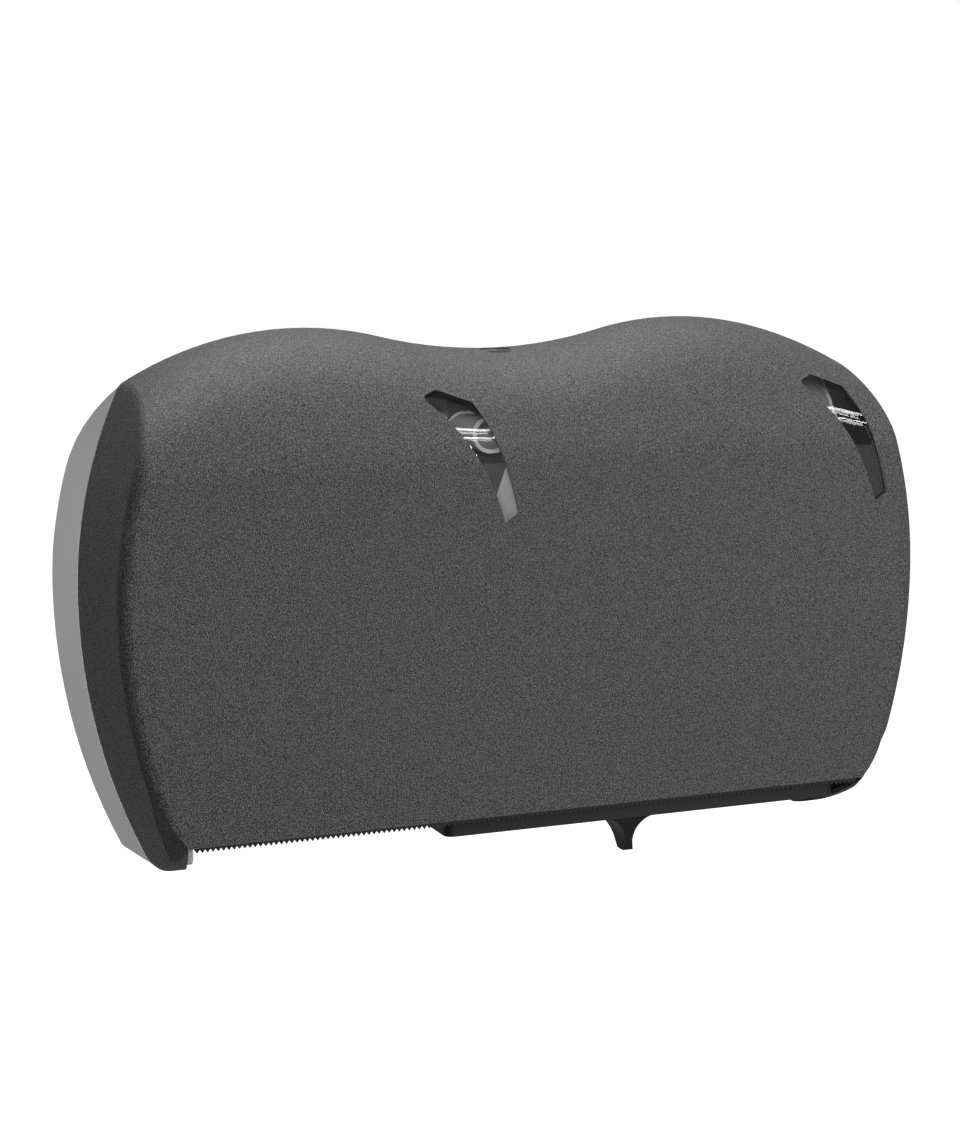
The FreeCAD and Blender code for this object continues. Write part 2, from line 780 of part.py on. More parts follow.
post_back = "-plate_wall"
flange_front = "-(plate_wall + flange_thickness)"
hub_back = "-(plate_wall + flange_thickness + brake_thickness + running_gap)"
post_front = "-(plate_wall + flange_thickness + brake_thickness + 2 * running_gap + %s)" % hub_length

for side, sign in sides.items():
    across = "%d * %s" % (sign, spindle_across)

    post = new_body(side + "_spindle_post")
    turn(post, side + "_post_turned", "YZ_Plane",
         [(post_back, "post_radius - post_wall"), (post_back, "flange_radius"),
          (flange_front, "flange_radius"), (flange_front, "post_radius"),
          (post_front, "post_radius"), (post_front, "post_radius - post_wall")], "Y_Axis")
    doc.recompute()
    hole = circles(post, side + "_post_hole", "XZ_Plane", [("0", "flange_screw_ring", "screw_radius")])
    polar(post, pocket(post, hole, "2 * (plate_wall + flange_thickness)", both=True), "Y_Axis",
          "flange_screw_count")
    sink = circles(post, side + "_post_sink", "XZ_Plane",
                   [("0", "flange_screw_ring", "screw_head_radius + 0.2")],
                   "plate_wall + flange_thickness")
    polar(post, pocket(post, sink, "screw_head_height + 0.1"), "Y_Axis", "flange_screw_count")
    put(post, across)

    ring = new_body(side + "_brake_ring")
    ring_back = flange_front
    ring_front = "-(plate_wall + flange_thickness + brake_thickness)"
    turn(ring, side + "_ring_turned", "YZ_Plane",
         [(ring_back, "post_radius + running_gap"), (ring_back, "flange_screw_ring - screw_head_radius - 1"),
          (ring_front, "flange_screw_ring - screw_head_radius - 1"),
          (ring_front, "post_radius + running_gap")], "Y_Axis")
    put(ring, across)

    hub = new_body(side + "_roll_hub")
    bore = "post_radius + running_gap"
    tube = "post_radius + running_gap + hub_wall"
    skin = "hub_radius - hub_wall"
    hub_front = "-" + hub_length
    turn(hub, side + "_hub_turned", "YZ_Plane",
         [("0", bore), ("0", "hub_stop_radius"), ("-hub_stop_thickness", "hub_stop_radius"),
          ("-hub_stop_thickness", "hub_radius"), (hub_front + " + hub_lead", "hub_radius"),
          (hub_front, "hub_radius - hub_lead / 2"), (hub_front, skin),
          ("-hub_stop_thickness", skin), ("-hub_stop_thickness", tube), (hub_front, tube),
          (hub_front, bore)], "Y_Axis")
    web = polygon(hub, side + "_hub_web", "YZ_Plane",
                  [("-hub_stop_thickness / 2", tube + " - hub_wall / 2"),
                   ("-hub_stop_thickness / 2", skin + " + hub_wall / 2"),
                   (hub_front + " + hub_lead", skin + " + hub_wall / 2"),
                   (hub_front + " + hub_lead", tube + " - hub_wall / 2")])
    polar(hub, pad(hub, web, "hub_web_thickness", both=True), "Y_Axis", "hub_web_count")
    put(hub, across, hub_back)

    cap = new_body(side + "_spindle_cap")
    spigot = "post_radius - post_wall"
    turn(cap, side + "_cap_turned", "YZ_Plane",
         [("cap_spigot", "0"), ("cap_spigot", spigot), ("0", spigot), ("0", "post_radius + hub_wall + 1"),
          ("-cap_thickness / 2", "post_radius + hub_wall + 1"),
          ("-cap_thickness", "post_radius - cap_thickness / 2"), ("-cap_thickness", "0")], "Y_Axis")
    put(cap, across, post_front)

into_wall = Vector(0, 1, 0)
sink_floor = size(flange_front) + dims("screw_head_height") + 0.1
screws("spindle_screws", [Vector(x, sink_floor, z) for x, z in flange_screws()], into_wall,
       -sink_floor - dims("plate_wall") + dims("screw_grip"))


# Hinge pins through the cover's legs and the plate's lugs

for side, sign in sides.items():
    pin = doc.addObject("Part::Cylinder", side + "_hinge_pin")
    pin.Label = side + "_hinge_pin"
    pin.setExpression("Radius", linked("hinge_pin_radius"))
    pin.setExpression("Height", linked("hinge_pin_length"))
    pin.Placement = FreeCAD.Placement(Vector(0, 0, 0), FreeCAD.Rotation(Vector(0, 1, 0), 90 * sign))
    put(pin, "%d * %s" % (sign, lug_inner), hinge_y_text, "-hinge_drop")


# Tear strip: a long saw edge under the front

def tear_strip():
    half = size(leg_inner + " + strip_reach")
    top = -size("front_drop - strip_overlap")
    root = -size("front_drop + strip_show")
    count = round(2 * half / dims("tooth_pitch"))
    pitch = 2 * half / count
    back = front_y + dims("cover_wall")
    points = [Vector(-half, back, top), Vector(-half, back, root)]
    for i in range(count):
        points.append(Vector(-half + (i + 0.5) * pitch, back, root - dims("tooth_height")))
        points.append(Vector(-half + (i + 1) * pitch, back, root))
    points.append(Vector(half, back, top))
    strip = Part.Face(Part.makePolygon(points + points[:1])).extrude(Vector(0, dims("strip_thickness"), 0))
    return strip.cut([rod(Vector(x, back - 1, -dims("guide_screw_drop")), Vector(0, 5, 0),
                          size("boss_radius + 0.2")) for x in screw_xs])


moulded("tear_strip", tear_strip())


# Selector guide: two channel rails joined by end bars, screwed on behind the tear strip

rail_front = "-(body_depth - cover_wall - strip_thickness)"
rail_web = "-(body_depth - cover_wall - strip_thickness - guide_web)"
rail_mouth = "-(%s + running_gap)" % selector_front
rail_base = "-(front_drop + guide_drop + guide_flange)"
rail_floor = "-(front_drop + guide_drop)"
rail_roof = "-(front_drop + guide_drop - selector_lip_thickness - 2 * running_gap)"
rail_top = "-(front_drop + guide_drop - selector_lip_thickness - 2 * running_gap - guide_flange)"


def mirrored_back(expression):
    """The same level seen from the rear rail."""
    return "-(%s + %s) - (%s)" % (selector_front, selector_rear, expression)


def rail_outline(rear):
    flip = mirrored_back if rear else (lambda expression: expression)
    crest = rail_top if rear else "-(front_drop - strip_overlap)"
    levels = [(rail_front, rail_base), (rail_mouth, rail_base), (rail_mouth, rail_floor),
              (rail_web, rail_floor), (rail_web, rail_roof), (rail_mouth, rail_roof),
              (rail_mouth, rail_top), (rail_web, rail_top), (rail_web, crest), (rail_front, crest)]
    if rear:
        levels = levels[:7] + [(rail_front, rail_top)]
    return [(flip(a), b) for a, b in levels]


guide = new_body("selector_guide")
guide_end = guide_length + " / 2"
for name, rear in (("front_rail", False), ("rear_rail", True)):
    rail = polygon(guide, name, "YZ_Plane", rail_outline(rear))
    if rear:
        bars = polygon(guide, "end_bars", "XY_Plane",
                       [("-" + guide_end, rail_web), (guide_end, rail_web),
                        (guide_end, mirrored_back(rail_web)),
                        ("-" + guide_end, mirrored_back(rail_web))], rail_base)
        pad(guide, bars, "guide_flange + selector_lip_thickness + 2 * running_gap")
        window = polygon(guide, "guide_window", "XY_Plane",
                         [("-%s + guide_bar" % guide_end, rail_web), (guide_end + " - guide_bar", rail_web),
                          (guide_end + " - guide_bar", mirrored_back(rail_web)),
                          ("-%s + guide_bar" % guide_end, mirrored_back(rail_web))], rail_base)
        doc.recompute()
        pocket(guide, window, "2 * front_drop", both=True)
    pad(guide, rail, guide_length, both=True)
    doc.recompute()
holes = circles(guide, "guide_screw_holes", "XZ_Plane",
                [("(%g) * %s" % (i - (dims("guide_screw_count") - 1) / 2, guide_screw_pitch),
                  "-guide_screw_drop", "boss_radius + 0.2") for i in range(len(screw_xs))],
                "body_depth - cover_wall")
pocket(guide, holes, "4 * guide_web", both=True)


# Roll selector: a shallow black tray that slides in the rails, with a finger fin under it

def selector():
    front, rear, bottom = -size(selector_front), -size(selector_rear), -dims("selector_bottom")
    wall = dims("selector_wall")
    half = dims("selector_length") / 2
    middle = size(leg_inner + " - selector_end_gap") - half
    lip_low = -size("front_drop + guide_drop - running_gap")
    lip_high = lip_low + dims("selector_lip_thickness")
    lip_out = size("selector_setback - cover_wall - strip_thickness - guide_web - running_gap")
    tray = box(middle - half, middle + half, front, rear, bottom, lip_high)
    upright = [item for item in tray.Edges if item.BoundBox.ZLength > 1 and item.BoundBox.YMax < front + 1]
    tray = tray.makeFillet(dims("selector_corner"), upright)
    tray = tray.cut(box(middle - half + wall, middle + half - wall, front + wall, rear - wall,
                        bottom + wall, lip_high + 1))
    for near, far in ((front - lip_out, front + wall), (rear - wall, rear + lip_out)):
        tray = tray.fuse(box(middle - half + dims("selector_corner"), middle + half - dims("selector_corner"),
                             near, far, lip_low, lip_high))
    return tray.fuse(fin(bottom + wall / 2)).removeSplitter()


def fin(top):
    """Finger fin: narrow blade that flares into the tray, longer at its root."""
    across = dims("fin_across")
    bottom = -size("selector_bottom + fin_drop")
    half, tip, flare = dims("fin_half_width"), dims("fin_tip_half_width"), dims("fin_flare")
    root = -dims("selector_bottom")
    front = -size(selector_front + " - fin_setback")
    run = size("(%s - %s) * fin_root_share" % (selector_front, selector_rear))

    def at(x, z):
        return Vector(across + x, front, z)

    bend = (1 - math.sqrt(0.5)) * flare
    edges = []
    for sign in (1, -1):
        edges += [edge(at(sign * tip, bottom), at(sign * half, root - flare)),
                  arc(at(sign * half, root - flare), at(sign * (half + bend), root - bend),
                      at(sign * (half + flare), root)),
                  edge(at(sign * (half + flare), root), at(sign * (half + flare), top))]
    edges += [edge(at(-tip, bottom), at(tip, bottom)), edge(at(-half - flare, top), at(half + flare, top))]
    blade = Part.Face(Part.Wire(Part.__sortEdges__(edges))).extrude(Vector(0, run, 0))
    left = across - half - flare
    profile = [(front, top), (front, root), (front + dims("fin_lean"), bottom),
               (front + dims("fin_lean") + dims("fin_tip_length"), bottom),
               (front + run, root), (front + run, top)]
    points = [Vector(left, y, z) for y, z in profile]
    side_view = Part.Face(Part.makePolygon(points + points[:1])).extrude(Vector(2 * (half + flare), 0, 0))
    return blade.common(side_view)


moulded("roll_selector", selector())
screws("guide_screws", [Vector(x, web_back, -dims("guide_screw_drop")) for x in screw_xs],
       Vector(0, -1, 0), dims("guide_screw_depth"), "guide_screw_head")


# Lock: a flush body in the roof, a turning plug with a cam, and a keeper on the plate
# Its own frame has Z up, with Z = 0 at the top of the flange.

def set_lock(piece, drop="0"):
    """Stand a lock piece on the lock's axis."""
    piece.Placement = FreeCAD.Placement(Vector(0, lock_y, lock_top - size(drop)), FreeCAD.Rotation())


lock = new_body("lock_body")
turn(lock, "lock_body_turned", "XZ_Plane",
     [("lock_plug_radius + pin_clearance", "0"), ("lock_flange_radius", "0"),
      ("lock_flange_radius", "-lock_flange"), ("lock_body_radius", "-lock_flange"),
      ("lock_body_radius", "-lock_body_length"), ("lock_plug_radius + pin_clearance", "-lock_body_length")],
     "Z_Axis")
set_lock(lock)

nut = new_body("lock_nut")
turn(nut, "lock_nut_turned", "XZ_Plane",
     [("lock_body_radius", "-lock_seat"), ("lock_flange_radius + 1", "-lock_seat"),
      ("lock_flange_radius + 1", "-lock_seat - lock_nut_height"),
      ("lock_body_radius", "-lock_seat - lock_nut_height")], "Z_Axis")
set_lock(nut)

plug = new_body("lock_plug")
turn(plug, "lock_plug_turned", "XZ_Plane",
     [("0", "-0.4"), ("lock_plug_radius", "-0.4"), ("lock_plug_radius", "-lock_plug_length"),
      ("0", "-lock_plug_length")], "Z_Axis")
doc.recompute()
recess = polygon(plug, "key_recess", "XY_Plane",
                 [("-key_half_width", "-key_half_width * 0.6"), ("key_half_width", "-key_half_width * 0.6"),
                  ("0", "key_half_width * 1.2")])
pocket(plug, recess, "key_depth", both=False)
set_lock(plug)

cam = new_body("lock_cam")
arm = polygon(cam, "cam_outline", "XY_Plane",
              [("-cam_half_width - 2", "-cam_half_width - 1"), ("cam_half_width + 2", "-cam_half_width - 1"),
               ("cam_half_width", "cam_half_width + 3"), ("cam_half_width", "cam_length - 2"),
               ("cam_half_width - 2", "cam_length"), ("-cam_half_width + 2", "cam_length"),
               ("-cam_half_width", "cam_length - 2"), ("-cam_half_width", "cam_half_width + 3")],
              "-lock_plug_length - cam_thickness")
pad(cam, arm, "cam_thickness")
set_lock(cam)

screw = new_body("cam_screw")
turn(screw, "cam_screw_turned", "XZ_Plane",
     [("0", "-lock_plug_length - cam_thickness"),
      ("cam_screw_head", "-lock_plug_length - cam_thickness"),
      ("cam_screw_head - 0.6", "-lock_plug_length - cam_thickness - screw_head_height"),
      ("0", "-lock_plug_length - cam_thickness - screw_head_height")], "Z_Axis")
set_lock(screw)


def keeper():
    """Bracket on the plate whose turned-up end stands in front of the locked cam."""
    back = -dims("plate_wall")
    thick = dims("keeper_thickness")
    lip = lock_y - size("cam_half_width + keeper_reach_gap")
    foot, head = keeper_top - dims("keeper_foot"), keeper_top + dims("keeper_head")
    profile = [(back, foot), (back, head), (back - thick, head), (back - thick, keeper_top), (lip, keeper_top),
               (lip, keeper_top + dims("keeper_lip")), (lip - thick, keeper_top + dims("keeper_lip")),
               (lip - thick, keeper_top - thick), (back - thick, keeper_top - thick), (back - thick, foot)]
    left = -dims("keeper_offset") - dims("keeper_width") / 2
    points = [Vector(left, y, z) for y, z in profile]
    bracket = Part.Face(Part.makePolygon(points + points[:1])).extrude(Vector(dims("keeper_width"), 0, 0))
    return bracket.cut([rod(Vector(x, back - 2 * thick, z), Vector(0, 3 * thick, 0), dims("screw_radius"))
                        for x, z in keeper_screws()])


moulded("lock_keeper", keeper())
screws("keeper_screws", [Vector(x, -size("plate_wall + keeper_thickness"), z) for x, z in keeper_screws()],
       into_wall, size("keeper_thickness + screw_grip"))


# Check and write every piece

doc.recompute()
for item in doc.Objects:
    if "Invalid" in item.State or "Error" in item.State:
        raise RuntimeError("%s did not build: %s" % (item.Name, item.State))
pieces = [item for item in doc.Objects if item.TypeId in ("PartDesign::Body", "Part::Feature", "Part::Cylinder")]
for piece in pieces:
    if piece.Shape.isNull() or not piece.Shape.isValid() or not piece.Shape.Solids:
        raise RuntimeError("%s has no valid solid" % piece.Label)
for piece in pieces:
    piece.Shape.exportStep("parts/%s.step" % piece.Label)
    print(piece.Label, len(piece.Shape.Solids), round(piece.Shape.Volume), piece.Shape.BoundBox)
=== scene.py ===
import json
import math

import bpy
from mathutils import Matrix, Vector

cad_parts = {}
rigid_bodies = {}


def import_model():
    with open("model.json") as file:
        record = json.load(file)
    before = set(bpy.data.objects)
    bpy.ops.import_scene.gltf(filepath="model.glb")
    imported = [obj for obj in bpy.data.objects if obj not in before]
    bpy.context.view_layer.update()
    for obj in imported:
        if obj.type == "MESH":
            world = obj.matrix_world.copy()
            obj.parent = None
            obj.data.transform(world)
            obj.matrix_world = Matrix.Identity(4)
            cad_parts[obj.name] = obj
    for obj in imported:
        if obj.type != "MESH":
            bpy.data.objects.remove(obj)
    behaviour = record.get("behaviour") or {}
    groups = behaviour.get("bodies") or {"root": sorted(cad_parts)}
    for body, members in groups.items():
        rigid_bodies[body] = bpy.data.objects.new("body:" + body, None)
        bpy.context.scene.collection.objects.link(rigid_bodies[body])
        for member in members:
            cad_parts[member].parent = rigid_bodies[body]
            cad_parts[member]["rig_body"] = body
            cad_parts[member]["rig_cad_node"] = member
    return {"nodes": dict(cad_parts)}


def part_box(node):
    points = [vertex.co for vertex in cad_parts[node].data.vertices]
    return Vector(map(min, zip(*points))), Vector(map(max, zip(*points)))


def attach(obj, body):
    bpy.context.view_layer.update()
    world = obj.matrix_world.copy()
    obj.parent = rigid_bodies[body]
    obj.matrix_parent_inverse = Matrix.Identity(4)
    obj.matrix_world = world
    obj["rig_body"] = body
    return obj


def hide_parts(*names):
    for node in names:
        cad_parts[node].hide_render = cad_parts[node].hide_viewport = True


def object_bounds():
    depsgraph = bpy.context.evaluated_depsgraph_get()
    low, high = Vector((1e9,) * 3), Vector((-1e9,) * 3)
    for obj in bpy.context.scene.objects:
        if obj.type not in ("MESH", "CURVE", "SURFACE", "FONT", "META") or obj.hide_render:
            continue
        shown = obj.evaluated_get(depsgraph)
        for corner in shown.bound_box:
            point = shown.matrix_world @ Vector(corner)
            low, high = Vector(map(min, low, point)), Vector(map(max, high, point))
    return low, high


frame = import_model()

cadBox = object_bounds()
nodes = frame["nodes"]
scene = bpy.context.scene
scene.view_settings.view_transform = "Standard"


# camera, at the angle of the photograph

cameraSettings = {
    "place": (-0.5302, -1.3969, 0.198),
    "turn": 21.159,  # degrees to the right of straight at the wall
    "dip": 8.572,  # degrees down
    "roll": 0.669,  # degrees
    "lens": 92.68,  # millimetres
    "clipEnd": 50,
}


def placeCamera(settings):
    turn, dip, roll = (math.radians(settings[key]) for key in ("turn", "dip", "roll"))
    ahead = math.cos(dip)
    forward = Vector((math.sin(turn) * ahead, math.cos(turn) * ahead, -math.sin(dip)))
    level = Vector((math.cos(turn), -math.sin(turn), 0))
    upright = level.cross(forward)
    right = math.cos(roll) * level - math.sin(roll) * upright
    up = math.sin(roll) * level + math.cos(roll) * upright
    data = bpy.data.cameras.new("camera")
    data.lens = settings["lens"]
    data.sensor_fit = "HORIZONTAL"
    data.clip_end = settings["clipEnd"]
    camera = bpy.data.objects.new("camera", data)
    scene.collection.objects.link(camera)
    turned = Matrix((right, up, -forward)).transposed().to_4x4()
    camera.matrix_world = Matrix.Translation(settings["place"]) @ turned
    scene.camera = camera


placeCamera(cameraSettings)
print("camera placed")


# light and floor

white = (1, 1, 1, 1)
worldSettings = {
    "lit": 0.19,  # strength of the light from all round
    "seen": 1.0,  # strength of the backdrop that the camera sees
    "gloss": 0.3,  # strength of the backdrop behind the object, in reflections
    "glossEdge": 0.5,  # how far back a reflection looks to see it in full
}
softLights = {
    # name: azimuth right of the front, height angle, distance, width, height, watts
    "stripHigh": (36, 37, 3.0, 2.6, 0.11, 11),
    "stripLow": (34, 28.5, 3.0, 2.6, 0.08, 11),
    "topSoft": (0, 99, 2.2, 2.2, 2.2, 62),
    "frontSoft": (28, 12, 3.0, 2.0, 1.6, 66),
    "lowLeft": (-60, -60, 2.6, 1.6, 1.2, 27),
    "rimSoft": (0, 128, 2.4, 2.0, 0.7, 7),
    "plateSoft": (-100, -50, 2.4, 1.6, 1.6, 17),
    "doorKey": (-22, 9, 3.4, 0.4, 0.4, 75),
}
floorSettings = {
    "size": 30,
    "below": 0.55,  # from the foot of the object down to the floor
    "glow": 1.0,
    "paint": (0.35, 0.35, 0.35, 1),
}


def addNode(tree, kind, values):
    node = tree.nodes.new(kind)
    for name, value in values.items():
        node.inputs[name].default_value = value
    return node


def addBackground(tree, strength):
    return addNode(tree, "ShaderNodeBackground", {"Strength": strength, "Color": white})


def lightWorld(settings):
    world = bpy.data.worlds.new("studio")
    scene.world = world
    world.use_nodes = True
    tree = world.node_tree
    link = tree.links.new
    tree.nodes.clear()
    out = tree.nodes.new("ShaderNodeOutputWorld")
    seen = addBackground(tree, settings["seen"])
    lit = addBackground(tree, settings["lit"])
    gloss = addBackground(tree, settings["gloss"])
    path = tree.nodes.new("ShaderNodeLightPath")
    # only reflections see the bright backdrop, and only behind the object
    place = tree.nodes.new("ShaderNodeTexCoord")
    split = tree.nodes.new("ShaderNodeSeparateXYZ")
    behind = addNode(tree, "ShaderNodeMapRange",
                     {"From Min": 0.0, "From Max": settings["glossEdge"]})
    both = tree.nodes.new("ShaderNodeMath")
    both.operation = "MULTIPLY"
    unseen = tree.nodes.new("ShaderNodeMixShader")
    mix = tree.nodes.new("ShaderNodeMixShader")
    link(place.outputs["Generated"], split.inputs[0])
    link(split.outputs["Y"], behind.inputs["Value"])
    link(behind.outputs[0], both.inputs[0])
    link(path.outputs["Is Glossy Ray"], both.inputs[1])
    link(both.outputs[0], unseen.inputs[0])
    link(lit.outputs[0], unseen.inputs[1])
    link(gloss.outputs[0], unseen.inputs[2])
    link(path.outputs["Is Camera Ray"], mix.inputs[0])
    link(unseen.outputs[0], mix.inputs[1])
    link(seen.outputs[0], mix.inputs[2])
    link(mix.outputs[0], out.inputs[0])


def addSoftLight(name, azimuth, height, distance, width, tall, watts):
    data = bpy.data.lights.new(name, "AREA")
    data.shape = "RECTANGLE"
    data.size = width
    data.size_y = tall
    data.energy = watts
    light = bpy.data.objects.new(name, data)
    scene.collection.objects.link(light)
    turn, rise = math.radians(azimuth), math.radians(height)
    level = math.cos(rise)
    away = Vector((math.sin(turn) * level, -math.cos(turn) * level, math.sin(rise)))
    light.location = away * distance
    light.rotation_euler = away.to_track_quat("Z", "Y").to_euler()
    return light


def addFloor(settings):
    bpy.ops.object.select_all(action="DESELECT")
    place = (0, 0, cadBox[0][2] - settings["below"])
    bpy.ops.mesh.primitive_plane_add(size=settings["size"], location=place)
    floor = bpy.context.object
    floor.name = "floor"
    material = bpy.data.materials.new("floorPaint")
    material.use_nodes = True
    tree = material.node_tree
    tree.nodes.clear()
    out = tree.nodes.new("ShaderNodeOutputMaterial")
    add = tree.nodes.new("ShaderNodeAddShader")
    glow = addNode(tree, "ShaderNodeEmission", {"Strength": settings["glow"]})
    paint = addNode(tree, "ShaderNodeBsdfDiffuse", {"Color": settings["paint"]})
    tree.links.new(glow.outputs[0], add.inputs[0])
    tree.links.new(paint.outputs[0], add.inputs[1])
    tree.links.new(add.outputs[0], out.inputs[0])
    floor.data.materials.append(material)
    floor.visible_diffuse = False
    floor.visible_glossy = False


lightWorld(worldSettings)
lights = {name: addSoftLight(name, *settings) for name, settings in softLights.items()}
addFloor(floorSettings)
print("lights and floor set")


# materials

# painted highlight along edges: the tone turns lighter where the surface rounds, standing in for
# light caught by the rounded edges
edgeHighlightSettings = {
    "radius": 0.0008,
    "samples": 3,
    "from": 0.995,  # agreement of the rounded and the flat normal where the painted edge highlight starts
    "full": 0.85,  # and where it is full
}
speckleSettings = {
    "grainScale": 1700.0,
    "grainStops": (0.38, 0.5, 0.62),
    "tones": (0.014, 0.045, 0.125),
    "flakeScale": 1250.0,
    "flakeStops": (0.4, 0.56),
    "flakeDepth": 0.0005,
    "roughness": (0.3, 0.66),
    "shine": 0.3,
    # lighter tone painted on the edges as a highlight
    "edgeHighlight": (0.075, 0.075, 0.075),
}
plasticSettings = {
    "cloudScale": 18.0,
    "cloudDetail": 4.0,
    "spread": 0.02,  # of the tone, either way
    # painted edge highlight: the tone times this gain, plus this much
    "edgeHighlightGain": 1.2,
    "edgeHighlightAdd": 0.01,
    "grainScale": 1200.0,
    "grainDepth": 0.00003,
    "roughSpread": 0.05,
}
metalSettings = {
    "scale": 400.0,
    "dull": 0.92,  # share of the tone in its darker spots
    "depth": 0.00001,
    "roughSpread": 0.06,
}
clearSettings = {
    "tint": (0.97, 0.97, 0.975, 1),
    "index": 1.49,
    "waveScale": 60.0,
    "roughness": (0.015, 0.04),
}
cloudStops = (0.3, 0.7)


def newMaterial(name):
    material = bpy.data.materials.new(name)
    material.use_nodes = True
    tree = material.node_tree
    coordinates = tree.nodes.new("ShaderNodeTexCoord")
    return material, tree, tree.nodes["Principled BSDF"], coordinates.outputs["Object"]


def addNoise(tree, place, scale, detail=1.0):
    noise = addNode(tree, "ShaderNodeTexNoise", {"Scale": scale, "Detail": detail})
    tree.links.new(place, noise.inputs["Vector"])
    return noise.outputs["Fac"]


def addRamp(tree, value, stops, tones):
    ramp = tree.nodes.new("ShaderNodeValToRGB")
    elements = ramp.color_ramp.elements
    while len(elements) < len(stops):
        elements.new(0.5)
    for element, stop, tone in zip(elements, stops, tones):
        element.position = stop
        element.color = (*tone, 1) if isinstance(tone, tuple) else (tone, tone, tone, 1)
    tree.links.new(value, ramp.inputs[0])
    return ramp.outputs["Color"]


def addPaintedEdgeHighlight(tree, shader, tone, edgeHighlight):
    # painted highlight on rounded edges: where the rounded normal leaves the flat one, the tone
    # turns to the lighter edge tone
    rounded = addNode(tree, "ShaderNodeBevel", {"Radius": edgeHighlightSettings["radius"]})
    rounded.samples = edgeHighlightSettings["samples"]
    flat = tree.nodes.new("ShaderNodeNewGeometry")
    agree = tree.nodes.new("ShaderNodeVectorMath")
    agree.operation = "DOT_PRODUCT"
    share = addNode(tree, "ShaderNodeMapRange",
                    {"From Min": edgeHighlightSettings["from"], "From Max": edgeHighlightSettings["full"]})
    mix = tree.nodes.new("ShaderNodeMix")
    mix.data_type = "RGBA"
    mix.inputs["B"].default_value = (*edgeHighlight, 1)
    tree.links.new(rounded.outputs[0], agree.inputs[0])
    tree.links.new(flat.outputs["Normal"], agree.inputs[1])
    tree.links.new(agree.outputs["Value"], share.inputs["Value"])
    tree.links.new(share.outputs[0], mix.inputs["Factor"])
    tree.links.new(tone, mix.inputs["A"])
    tree.links.new(mix.outputs["Result"], shader.inputs["Base Color"])


def addRoughness(tree, shader, value, stops, limits):
    tree.links.new(addRamp(tree, value, stops, limits), shader.inputs["Roughness"])


def addBump(tree, shader, height, depth):
    bump = addNode(tree, "ShaderNodeBump", {"Strength": 1.0, "Distance": depth})
    tree.links.new(height, bump.inputs["Height"])
    tree.links.new(bump.outputs[0], shader.inputs["Normal"])


def around(middle, spread):
    return middle - spread, middle + spread


def makeSpeckled(name, settings):
    material, tree, shader, place = newMaterial(name)
    grain = addNoise(tree, place, settings["grainScale"])
    tone = addRamp(tree, grain, settings["grainStops"], settings["tones"])
    # painted highlight along the edges
    addPaintedEdgeHighlight(tree, shader, tone, settings["edgeHighlight"])
    flakes = addNoise(tree, place, settings["flakeScale"])
    shader.inputs["Specular IOR Level"].default_value = settings["shine"]
    addRoughness(tree, shader, flakes, settings["flakeStops"], settings["roughness"])
    addBump(tree, shader, flakes, settings["flakeDepth"])
    return material


def makePlastic(name, tone, roughness, shine=0.5):
    settings = plasticSettings
    material, tree, shader, place = newMaterial(name)
    shader.inputs["Specular IOR Level"].default_value = shine
    dark, light = (tuple(value * (1 + spread) for value in tone)
                   for spread in (-settings["spread"], settings["spread"]))
    # lighter tone for the painted edge highlight
    edgeHighlight = tuple(value * settings["edgeHighlightGain"] + settings["edgeHighlightAdd"] for value in tone)
    cloud = addNoise(tree, place, settings["cloudScale"], settings["cloudDetail"])
    addPaintedEdgeHighlight(tree, shader, addRamp(tree, cloud, cloudStops, (dark, light)), edgeHighlight)
    grain = addNoise(tree, place, settings["grainScale"])
    addRoughness(tree, shader, grain, cloudStops, around(roughness, settings["roughSpread"]))
    addBump(tree, shader, grain, settings["grainDepth"])
    return material


def makeMetal(name, tone, roughness):
    settings = metalSettings
    material, tree, shader, place = newMaterial(name)
    shader.inputs["Metallic"].default_value = 1.0
    cloud = addNoise(tree, place, settings["scale"], 2.0)
    tones = addRamp(tree, cloud, cloudStops, (tone * settings["dull"], tone))
    tree.links.new(tones, shader.inputs["Base Color"])
    addRoughness(tree, shader, cloud, cloudStops, around(roughness, settings["roughSpread"]))
    addBump(tree, shader, cloud, settings["depth"])
    return material


def makeClear(name, settings):
    material, tree, shader, place = newMaterial(name)
    shader.inputs["Base Color"].default_value = settings["tint"]
    shader.inputs["Transmission Weight"].default_value = 1.0
    shader.inputs["IOR"].default_value = settings["index"]
    wave = addNoise(tree, place, settings["waveScale"])
    addRoughness(tree, shader, wave, cloudStops, settings["roughness"])
    return material


speckled = makeSpeckled("speckledGreyPlastic", speckleSettings)
plateGrey = makePlastic("lightGreyPlastic", (0.57, 0.57, 0.575), 0.3)
black = makePlastic("blackPlastic", (0.009, 0.009, 0.009), 0.45, shine=0.3)
padGrey = makePlastic("darkGreyPlastic", (0.05, 0.05, 0.05), 0.5, shine=0.4)
hubGrey = makePlastic("paleGreyPlastic", (0.55, 0.56, 0.57), 0.3)
steel = makeMetal("zincSteel", 0.6, 0.34)
nickel = makeMetal("nickelPlate", 0.66, 0.22)
clear = makeClear("clearPlastic", clearSettings)

